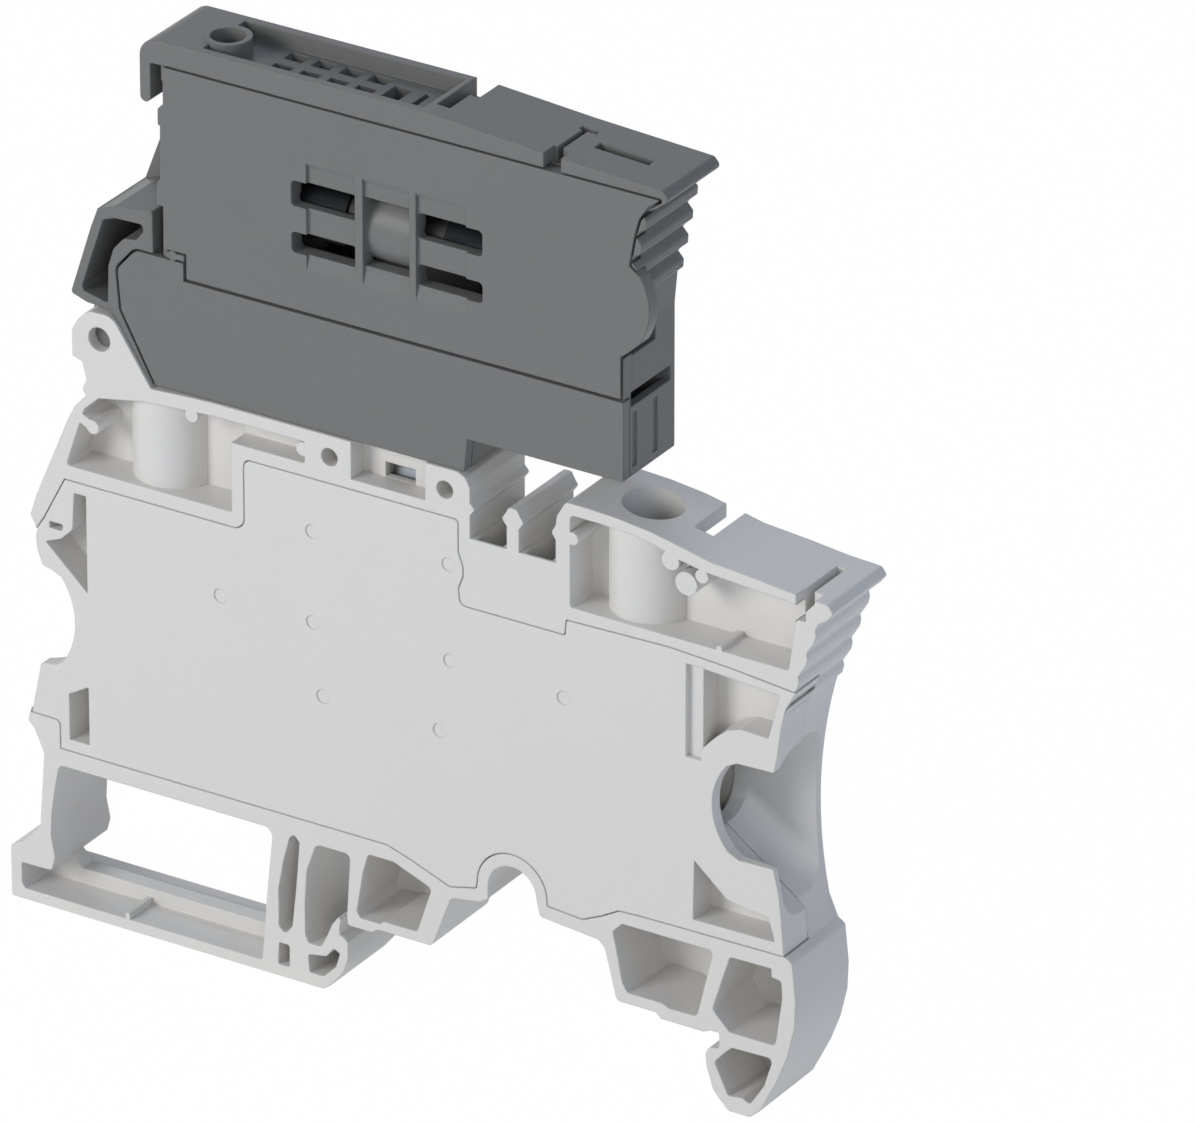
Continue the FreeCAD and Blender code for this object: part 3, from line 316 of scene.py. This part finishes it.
def plated_metal(name, colour, roughness, line_size):
    """Stamped sheet or turned metal with a plated coat.

    The coat leaves a soft reflection over the faint lines of drawing or turning, which
    are finer on the real metal and are drawn as coarse as they need to show."""
    finish = bpy.context.scene.fuse_block_finish
    material = new_material(name)
    tree = material.node_tree
    place = add_node(tree, "ShaderNodeTexCoord")
    stretch = add_node(tree, "ShaderNodeMapping", {
        "Vector": place.outputs["Object"], "Scale": (LINE_STRETCH, 1.0, 1.0)})
    lines = add_node(tree, "ShaderNodeTexNoise", {
        "Vector": stretch.outputs["Vector"], "Scale": 1 / line_size, "Detail": 3.0})
    sheen = add_node(tree, "ShaderNodeMapRange", {
        "Value": lines.outputs["Fac"], "From Min": NOISE_LOW, "From Max": NOISE_HIGH,
        "To Min": roughness - LINE_SHEEN[0], "To Max": roughness + LINE_SHEEN[1]})
    edge = add_node(tree, "ShaderNodeBevel", {
        "Radius": finish.edge_round * METAL_EDGE}, samples=4)
    relief = add_node(tree, "ShaderNodeBump", {
        "Height": lines.outputs["Fac"], "Strength": 0.3, "Distance": LINE_DEPTH,
        "Normal": edge.outputs["Normal"]})
    shader = add_node(tree, "ShaderNodeBsdfPrincipled", {
        "Base Color": colour, "Metallic": 1.0, "Roughness": sheen.outputs["Result"],
        "Normal": relief.outputs["Normal"]})
    add_node(tree, "ShaderNodeOutputMaterial", {"Surface": shader.outputs[0]})
    return material


def tube_glass(name, colour):
    """Drawn glass tube with a faint ripple.

    Its dark smoky colour is painted shade, and it is dull, so that the door's slots look
    dark round it."""
    material = new_material(name)
    tree = material.node_tree
    place = add_node(tree, "ShaderNodeTexCoord")
    ripple = add_node(tree, "ShaderNodeTexNoise", {
        "Vector": place.outputs["Object"], "Scale": 1 / GLASS_RIPPLE_SIZE,
        "Detail": 1.0})
    relief = add_node(tree, "ShaderNodeBump", {
        "Height": ripple.outputs["Fac"], "Strength": 0.1,
        "Distance": GLASS_RIPPLE_DEPTH})
    shader = add_node(tree, "ShaderNodeBsdfPrincipled", {
        "Base Color": colour, "Roughness": 0.6, "IOR": GLASS_IOR,
        "Specular IOR Level": 0.04, "Transmission Weight": 1.0,
        "Normal": relief.outputs["Normal"]})
    add_node(tree, "ShaderNodeOutputMaterial", {"Surface": shader.outputs[0]})
    return material


class FUSEBLOCK_OT_body(bpy.types.Operator):
    """Light grey moulding of the housing and its side cover"""

    bl_idname = "fuseblock.body"
    bl_label = "Housing and cover"

    def execute(self, context):
        finish = context.scene.fuse_block_finish
        plastic = moulded_polyamide(
            "light_grey_polyamide", finish.body_colour,
            roughness=0.42, mottle=0.012, gloss=0.35)
        paint(["housing", "side_cover"], plastic)
        housing = welded_copy("housing", "moulded_housing", "block")
        for vertex in housing.data.vertices:
            self.shape_ridge(vertex.co, finish.ridge_depth)
            self.widen_well(vertex.co)
        soften(housing, widest_turn=28)
        return {"FINISHED"}

    def shape_ridge(self, place, depth):
        """Draw the valleys of the marker end out towards the line over its ridges."""
        line_x = RIDGE_LINE_X - RIDGE_LEAN * (RIDGE_LINE_Z - place.z)
        valley = line_x - place.x
        if RIDGES_BOTTOM < place.z < RIDGES_TOP and valley < DEEPEST_VALLEY:
            place.x += valley * (1 - depth)

    def widen_well(self, place):
        """Bring the near wall of both pin wells up to the covered side."""
        if abs(place.y - WELL_WALL_Y) > SAME_PLANE:
            return
        if not WELLS_BOTTOM < place.z < WELLS_TOP:
            return
        for left, right in WELLS_X:
            if left - SAME_PLANE < place.x < right + SAME_PLANE:
                in_mouth = place.z > WELL_MOUTH_BOTTOM
                place.y = WELL_MOUTH_Y if in_mouth else WELL_SHAFT_Y


class FUSEBLOCK_OT_lever(bpy.types.Operator):
    """Dark grey moulding of the lever, its lower cover and the fuse door"""

    bl_idname = "fuseblock.lever"
    bl_label = "Lever and fuse door"

    def execute(self, context):
        finish = context.scene.fuse_block_finish
        plastic = moulded_polyamide(
            "dark_grey_polyamide", finish.lever_colour,
            roughness=0.35, mottle=0.03, gloss=0.16)
        paint(["lever_frame", "lever_lower_cover", "fuse_door"], plastic)
        door = welded_copy("fuse_door", "moulded_fuse_door", "door")
        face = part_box("fuse_door")[0].y
        shallow, deep = WINDOW_FLOOR_DEPTHS
        for vertex in door.data.vertices:
            sunk = vertex.co.y - face
            if shallow < sunk < deep and vertex.co.x > WINDOWS_LEFT:
                vertex.co.y = face + finish.window_depth
        soften(door, widest_turn=12)
        return {"FINISHED"}


class FUSEBLOCK_OT_clamps(bpy.types.Operator):
    """Zinc plated steel of the clamp cages and screws"""

    bl_idname = "fuseblock.clamps"
    bl_label = "Screw clamps"

    def execute(self, context):
        finish = context.scene.fuse_block_finish
        steel = plated_metal(
            "zinc_plated_steel", finish.steel_colour, roughness=0.34, line_size=0.00015)
        names = []
        for part in ("clamp_cage", "clamp_screw"):
            names += ["left_" + part, "right_" + part]
        paint(names, steel)
        return {"FINISHED"}


class FUSEBLOCK_OT_contacts(bpy.types.Operator):
    """Tinned copper of the bars, forks, strips and the fuse's wire"""

    bl_idname = "fuseblock.contacts"
    bl_label = "Current bars and contacts"

    def execute(self, context):
        finish = context.scene.fuse_block_finish
        tin = plated_metal(
            "tinned_copper", finish.tin_colour, roughness=0.5, line_size=0.0002)
        names = ["fuse_wire"]
        for part in ("current_bar", "fork_contact", "contact_strip"):
            names += ["left_" + part, "right_" + part]
        paint(names, tin)
        return {"FINISHED"}


class FUSEBLOCK_OT_fuse(bpy.types.Operator):
    """Glass tube of the fuse, its caps and the clips that hold them"""

    bl_idname = "fuseblock.fuse"
    bl_label = "Fuse"

    def execute(self, context):
        finish = context.scene.fuse_block_finish
        # Nickel painted near black as painted shade, so the caps and clips reflect little
        # and the door's slots look dark.
        nickel = plated_metal(
            "nickel_painted_shade_dark", finish.cap_painted_shade_colour, roughness=0.6, line_size=0.0003)
        names = []
        for part in ("fuse_cap", "fuse_clip"):
            names += ["left_" + part, "right_" + part]
        paint(names, nickel)
        paint(["fuse_glass"], tube_glass("fuse_tube_glass", finish.glass_painted_shade_colour))
        return {"FINISHED"}


class FUSEBLOCK_OT_stage(bpy.types.Operator):
    """Pale floor, soft lamps and the camera"""

    bl_idname = "fuseblock.stage"
    bl_label = "Studio"

    def execute(self, context):
        scene = context.scene
        studio = scene.fuse_block_studio
        bpy.ops.object.select_all(action="DESELECT")
        bpy.ops.mesh.primitive_plane_add(size=FLOOR_SIZE, location=(0, 0, cad_box[0].z))
        floor = context.object
        floor.name = "studio_floor"
        floor.data.materials.append(self.floor_material(studio))
        self.add_lamp("key_softbox", studio.key_power,
                      size=0.5, place=(-0.5, -0.85, 0.42), colour="#FFFFFF")
        self.add_lamp("fill_softbox", studio.fill_power,
                      size=0.5, place=(0.62, -0.95, 0.42), colour="#FFFFFF")
        self.add_lamp("side_softbox", studio.rim_power,
                      size=0.45, place=(0.9, -0.1, 0.65), colour="#BED5FF")
        self.add_lamp("top_softbox", studio.top_power,
                      size=0.35, place=(-0.4, 0.55, 0.9), colour="#DCE8FF")
        self.light_world(scene, studio)
        self.add_camera(scene, studio)
        scene.view_settings.view_transform = "Standard"
        return {"FINISHED"}

    def floor_material(self, studio):
        """Matt white card, seen nearly at its own colour so only a soft shadow shows."""
        material = new_material("white_card")
        tree = material.node_tree
        card = add_node(tree, "ShaderNodeBsdfDiffuse", {"Color": studio.backdrop_colour})
        glow = add_node(tree, "ShaderNodeEmission", {
            "Color": studio.backdrop_colour, "Strength": 1.0})
        share = add_node(tree, "ShaderNodeMath", {
            0: shows_backdrop(tree), 1: FLOOR_GLOW}, operation="MULTIPLY")
        mixed = add_node(tree, "ShaderNodeMixShader", {
            "Fac": share.outputs[0], 1: card.outputs[0], 2: glow.outputs[0]})
        add_node(tree, "ShaderNodeOutputMaterial", {"Surface": mixed.outputs[0]})
        return material

    def add_lamp(self, name, power, size, place, colour):
        """Square soft lamp that faces the block."""
        lamp = bpy.data.lights.new(name, "AREA")
        lamp.color = linear(colour)[:3]
        lamp.energy = power
        lamp.size = size
        holder = bpy.data.objects.new(name, lamp)
        bpy.context.scene.collection.objects.link(holder)
        holder.location = place
        aim = Vector(LAMP_AIM) - Vector(place)
        holder.rotation_euler = aim.to_track_quat("-Z", "Y").to_euler()

    def light_world(self, scene, studio):
        """Faint bluish light from all round, and plain white where the backdrop shows."""
        world = bpy.data.worlds.new("studio_sky")
        world.use_nodes = True
        tree = world.node_tree
        tree.nodes.clear()
        sky = add_node(tree, "ShaderNodeBackground", {
            "Color": linear("#E3EAF8"), "Strength": studio.sky_strength})
        white = add_node(tree, "ShaderNodeBackground", {
            "Color": studio.backdrop_colour, "Strength": 1.0})
        mixed = add_node(tree, "ShaderNodeMixShader", {
            "Fac": shows_backdrop(tree), 1: sky.outputs[0], 2: white.outputs[0]})
        add_node(tree, "ShaderNodeOutputWorld", {"Surface": mixed.outputs[0]})
        scene.world = world

    def add_camera(self, scene, studio):
        """Camera at the photograph's angle, with its long lens."""
        back = Vector((
            math.sin(studio.azimuth) * math.cos(studio.elevation),
            -math.cos(studio.azimuth) * math.cos(studio.elevation),
            math.sin(studio.elevation)))
        camera = bpy.data.objects.new("camera", bpy.data.cameras.new("camera"))
        scene.collection.objects.link(camera)
        camera.location = Vector(studio.target) + back * studio.distance
        camera.rotation_euler = (-back).to_track_quat("-Z", "Y").to_euler()
        camera.data.lens = studio.lens
        camera.data.sensor_width = 36
        camera.data.clip_start = 0.01
        camera.data.clip_end = 20
        scene.camera = camera


class FUSEBLOCK_PT_sidebar(bpy.types.Panel):
    """Finishes and studio of the fuse terminal block"""

    bl_label = "Fuse Terminal Block"
    bl_idname = "FUSEBLOCK_PT_sidebar"
    bl_space_type = "VIEW_3D"
    bl_region_type = "UI"
    bl_category = "Fuse Block"

    def draw(self, context):
        layout = self.layout
        for group in (context.scene.fuse_block_finish, context.scene.fuse_block_studio):
            column = layout.column()
            for field in group.__annotations__:
                column.prop(group, field)
        for operator in OPERATORS:
            layout.operator(operator.bl_idname)


GROUPS = (FuseBlockFinish, FuseBlockStudio)
OPERATORS = (
    FUSEBLOCK_OT_body, FUSEBLOCK_OT_lever, FUSEBLOCK_OT_clamps, FUSEBLOCK_OT_contacts,
    FUSEBLOCK_OT_fuse, FUSEBLOCK_OT_stage,
)
CLASSES = GROUPS + OPERATORS + (FUSEBLOCK_PT_sidebar,)


def register():
    for cls in CLASSES:
        bpy.utils.register_class(cls)
    bpy.types.Scene.fuse_block_finish = bpy.props.PointerProperty(type=FuseBlockFinish)
    bpy.types.Scene.fuse_block_studio = bpy.props.PointerProperty(type=FuseBlockStudio)


def unregister():
    del bpy.types.Scene.fuse_block_studio
    del bpy.types.Scene.fuse_block_finish
    for cls in reversed(CLASSES):
        bpy.utils.unregister_class(cls)


def main():
    register()
    bpy.ops.fuseblock.body()
    bpy.ops.fuseblock.lever()
    bpy.ops.fuseblock.clamps()
    bpy.ops.fuseblock.contacts()
    bpy.ops.fuseblock.fuse()
    bpy.ops.fuseblock.stage()


if __name__ == "__main__":
    main()
